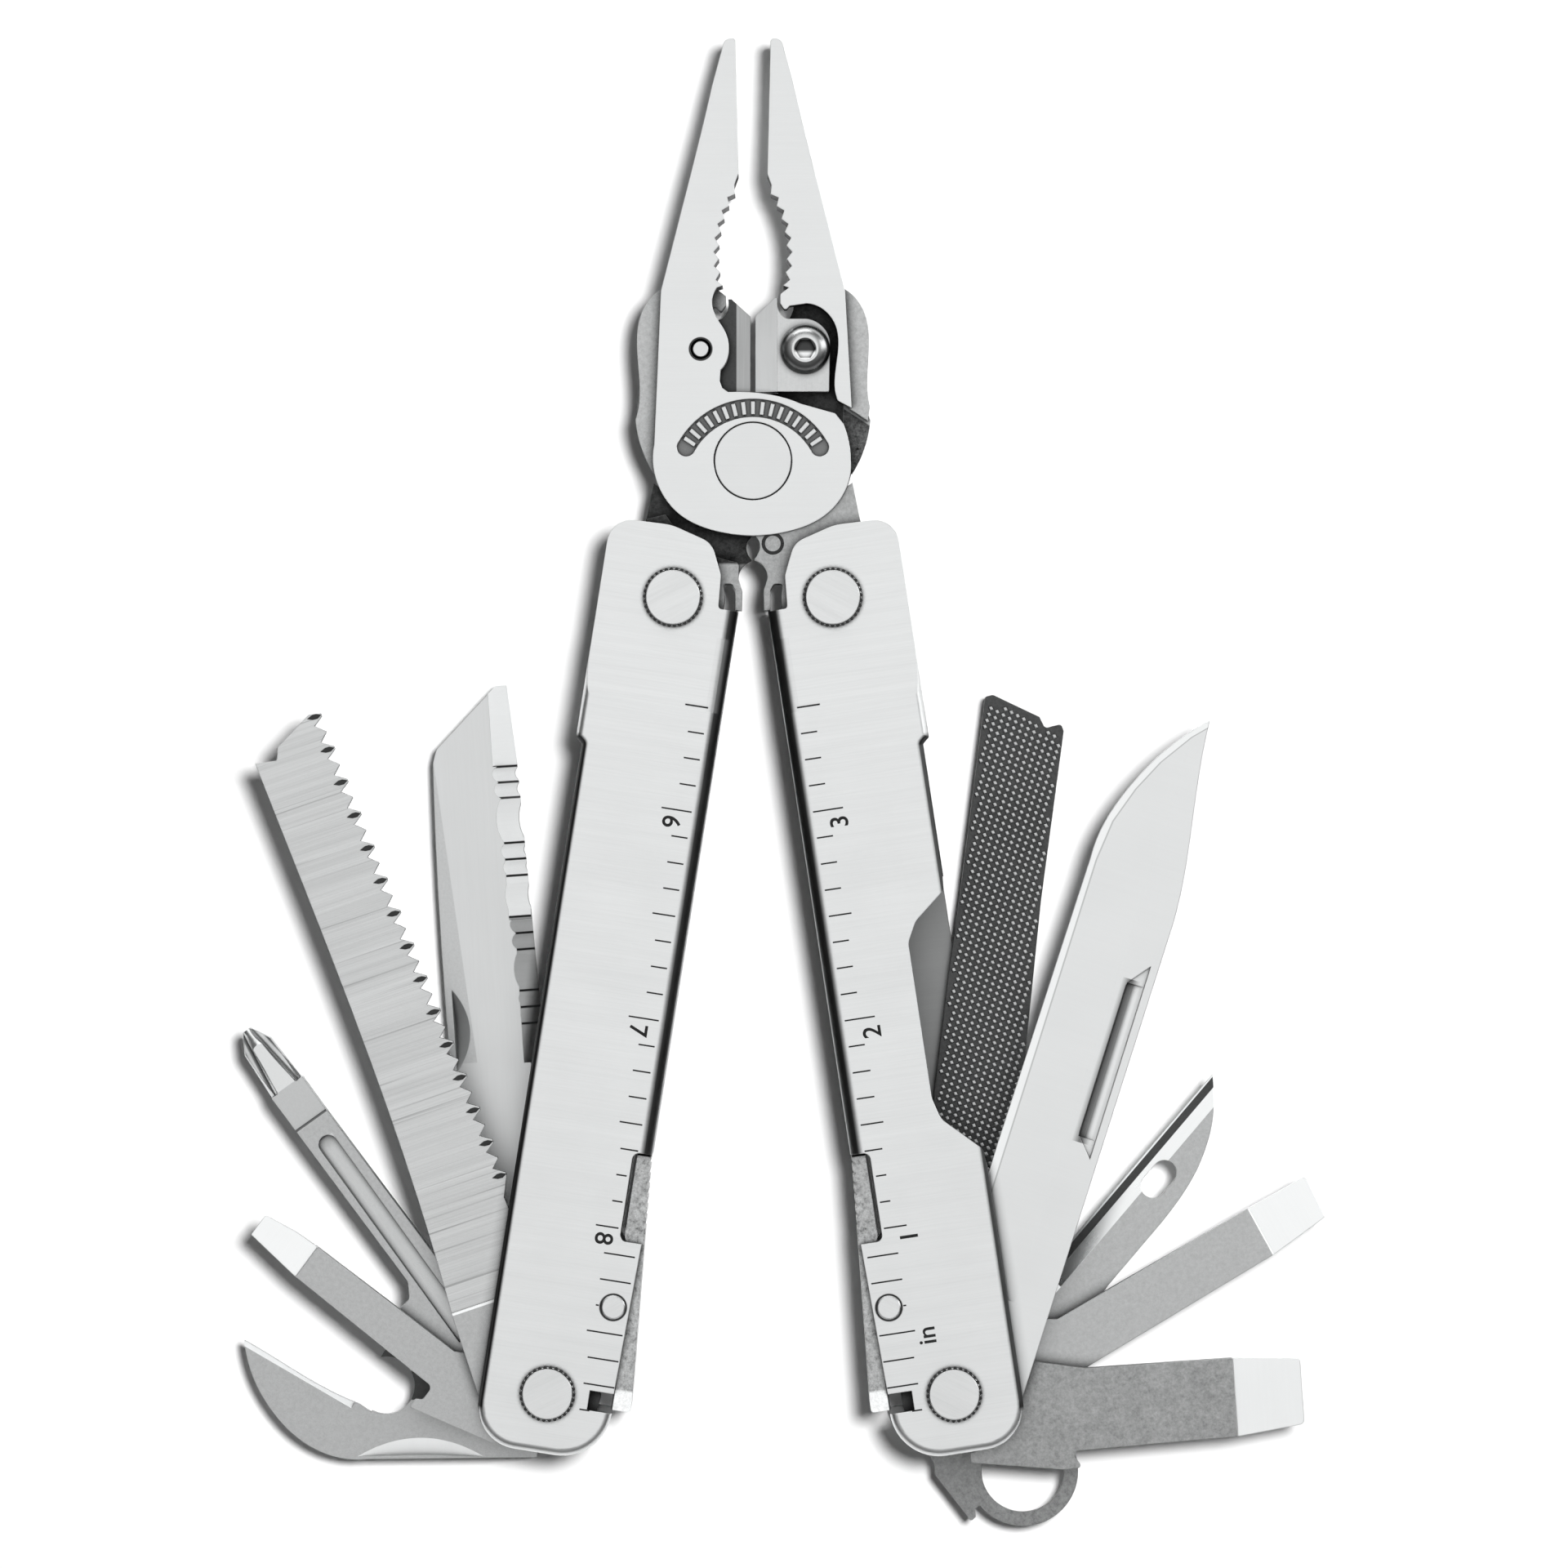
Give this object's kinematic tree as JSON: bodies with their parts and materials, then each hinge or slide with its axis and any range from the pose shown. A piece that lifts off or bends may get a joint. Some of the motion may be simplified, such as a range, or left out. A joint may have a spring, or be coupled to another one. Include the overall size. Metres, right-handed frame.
{
  "type": "multi tool",
  "caption": "Folding multi tool: needle-nose pliers on two channel handles, with blades, saw, file, drivers, openers, awl and lanyard ring fanned out.",
  "frame": {"origin": "on the axis of the main plier pivot, on the front face of its rivet", "axes": "+Z out of the front face, +Y toward the plier tips, +X to the right seen from the front"},
  "size_m": [0.1309, 0.18, 0.0184],
  "materials": {
    "handle_steel": "satin, brushed across the handle",
    "jaw_steel": "satin faces, cast-like sides",
    "rivet_steel": "ground flat",
    "insert_steel": "ground bevels",
    "screw_steel": "smooth",
    "lock_steel": "tumbled",
    "blade_steel": "satin ground",
    "file_steel": "double cut teeth",
    "tool_steel": "bead blasted"
  },
  "bodies": {
    "front_jaw": {"jaw_front": "jaw_steel", "pivot_rivet": "rivet_steel", "cutter_insert_left": "insert_steel", "cutter_screw_left": "screw_steel"},
    "rear_jaw": {"jaw_rear": "jaw_steel", "cutter_insert_right": "insert_steel", "cutter_screw_right": "screw_steel"},
    "left_handle": {"handle_left": "handle_steel", "left_hinge_rivet": "rivet_steel", "left_tool_axle": "rivet_steel", "left_rocker_pin": "rivet_steel", "left_lock_spring": "lock_steel", "left_spacers": "lock_steel"},
    "left_rocker": {"left_lock_rocker": "lock_steel"},
    "saw": {"saw": "blade_steel"},
    "serrated_knife": {"serrated_knife": "blade_steel"},
    "phillips_driver": {"phillips_driver": "tool_steel"},
    "small_driver": {"small_driver": "tool_steel"},
    "can_opener": {"can_opener": "tool_steel"},
    "right_handle": {"handle_right": "handle_steel", "right_hinge_rivet": "rivet_steel", "right_tool_axle": "rivet_steel", "right_rocker_pin": "rivet_steel", "right_lock_spring": "lock_steel", "right_spacers": "lock_steel"},
    "right_rocker": {"right_lock_rocker": "lock_steel"},
    "file": {"file": "file_steel"},
    "knife": {"knife": "blade_steel"},
    "awl": {"awl": "tool_steel"},
    "medium_driver": {"medium_driver": "tool_steel"},
    "large_driver": {"large_driver": "tool_steel"},
    "lanyard_ring": {"lanyard_ring": "tool_steel"}
  },
  "joints": [
    {"name": "jaw_pivot", "type": "hinge", "parent": "front_jaw", "child": "rear_jaw", "pos_m": [0, 0, -0.005], "axis": [0, 0, 1], "range_deg": [-16, 4.6]},
    {"name": "left_handle_fold", "type": "hinge", "parent": "rear_jaw", "child": "left_handle", "pos_m": [-0.00962, -0.01647, -0.005], "axis": [0, 0, 1], "range_deg": [-95, 0]},
    {"name": "left_rocker_tilt", "type": "hinge", "parent": "left_handle", "child": "left_rocker", "pos_m": [-0.0168, -0.10189, -0.005], "axis": [0, 0, 1], "range_deg": [-4.4, 0]},
    {"name": "saw_swing", "type": "hinge", "parent": "left_handle", "child": "saw", "pos_m": [-0.02471, -0.11229, -0.005], "axis": [0, 0, 1], "range_deg": [-27.7, 152.3]},
    {"name": "serrated_knife_swing", "type": "hinge", "parent": "left_handle", "child": "serrated_knife", "pos_m": [-0.02471, -0.11229, -0.005], "axis": [0, 0, 1], "range_deg": [-12.7, 167.3]},
    {"name": "phillips_driver_swing", "type": "hinge", "parent": "left_handle", "child": "phillips_driver", "pos_m": [-0.02471, -0.11229, -0.005], "axis": [0, 0, 1], "range_deg": [-44.5, 135.5]},
    {"name": "small_driver_swing", "type": "hinge", "parent": "left_handle", "child": "small_driver", "pos_m": [-0.02471, -0.11229, -0.005], "axis": [0, 0, 1], "range_deg": [-62.4, 117.6]},
    {"name": "can_opener_swing", "type": "hinge", "parent": "left_handle", "child": "can_opener", "pos_m": [-0.02471, -0.11229, -0.005], "axis": [0, 0, 1], "range_deg": [-99, 81]},
    {"name": "right_handle_fold", "type": "hinge", "parent": "front_jaw", "child": "right_handle", "pos_m": [0.00962, -0.01647, -0.005], "axis": [0, 0, 1], "range_deg": [0, 95]},
    {"name": "right_rocker_tilt", "type": "hinge", "parent": "right_handle", "child": "right_rocker", "pos_m": [0.01636, -0.10193, -0.005], "axis": [0, 0, 1], "range_deg": [0, 4.4]},
    {"name": "file_swing", "type": "hinge", "parent": "right_handle", "child": "file", "pos_m": [0.02423, -0.11236, -0.005], "axis": [0, 0, 1], "range_deg": [-165.5, 14.5]},
    {"name": "knife_swing", "type": "hinge", "parent": "right_handle", "child": "knife", "pos_m": [0.02423, -0.11236, -0.005], "axis": [0, 0, 1], "range_deg": [-153.8, 26.2]},
    {"name": "awl_swing", "type": "hinge", "parent": "right_handle", "child": "awl", "pos_m": [0.02423, -0.11236, -0.005], "axis": [0, 0, 1], "range_deg": [-131, 49]},
    {"name": "medium_driver_swing", "type": "hinge", "parent": "right_handle", "child": "medium_driver", "pos_m": [0.02423, -0.11236, -0.005], "axis": [0, 0, 1], "range_deg": [-110.1, 69.9]},
    {"name": "large_driver_swing", "type": "hinge", "parent": "right_handle", "child": "large_driver", "pos_m": [0.02423, -0.11236, -0.005], "axis": [0, 0, 1], "range_deg": [-85.3, 94.7]},
    {"name": "lanyard_ring_swing", "type": "hinge", "parent": "right_handle", "child": "lanyard_ring", "pos_m": [0.02423, -0.11236, -0.005], "axis": [0, 0, 1], "range_deg": [-28.5, 136.5]}
  ]
}
